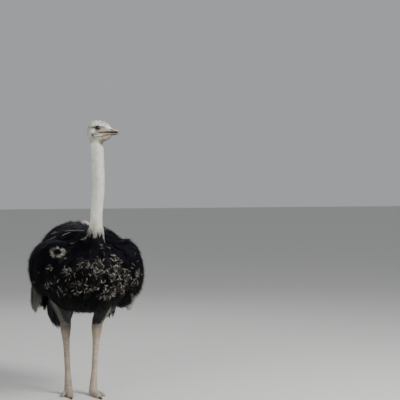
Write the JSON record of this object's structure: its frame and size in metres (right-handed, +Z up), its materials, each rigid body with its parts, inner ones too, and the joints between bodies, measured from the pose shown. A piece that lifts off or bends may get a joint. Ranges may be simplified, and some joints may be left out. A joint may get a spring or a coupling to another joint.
{
  "type": "ostrich",
  "caption": "Life-size adult male ostrich, standing still with its neck upright, its head turned to its left and its bill slightly open, for display, scenes and scale reference.",
  "frame": {"origin": "on the floor, under the middle of the bird's box", "axes": "+Z up; the bird faces -Y, so its left side is +X"},
  "size_m": [0.8588, 1.3014, 2.0736],
  "materials": {
    "black_plume": "soft black plumes with a faint sheen and pale curled tips",
    "white_plume": "loose off-white plumes",
    "tail_plume": "drooping grey-brown plumes",
    "neck_down": "short pale grey down",
    "face_skin": "grey-pink skin with sparse down",
    "leg_skin": "pinkish-grey scaled skin",
    "horn": "horn of the bill and claws",
    "eye": "wet dark brown eye"
  },
  "bodies": {
    "root": {"trunk": "black_plume", "wing_left": "black_plume", "wing_right": "black_plume", "primaries_left": "white_plume", "primaries_right": "white_plume", "tail": "tail_plume", "neck_lower": "neck_down", "neck_middle": "neck_down", "neck_upper": "neck_down", "head": "face_skin", "throat": "face_skin", "ear_left": "face_skin", "ear_right": "face_skin", "bill_upper": "horn", "bill_lower": "horn", "eye_left": "eye", "eye_right": "eye", "thigh_left": "leg_skin", "thigh_right": "leg_skin", "shank_left": "leg_skin", "shank_right": "leg_skin", "big_toe_left": "leg_skin", "big_toe_right": "leg_skin", "small_toe_left": "leg_skin", "small_toe_right": "leg_skin", "claw_left": "horn", "claw_right": "horn"}
  },
  "joints": []
}
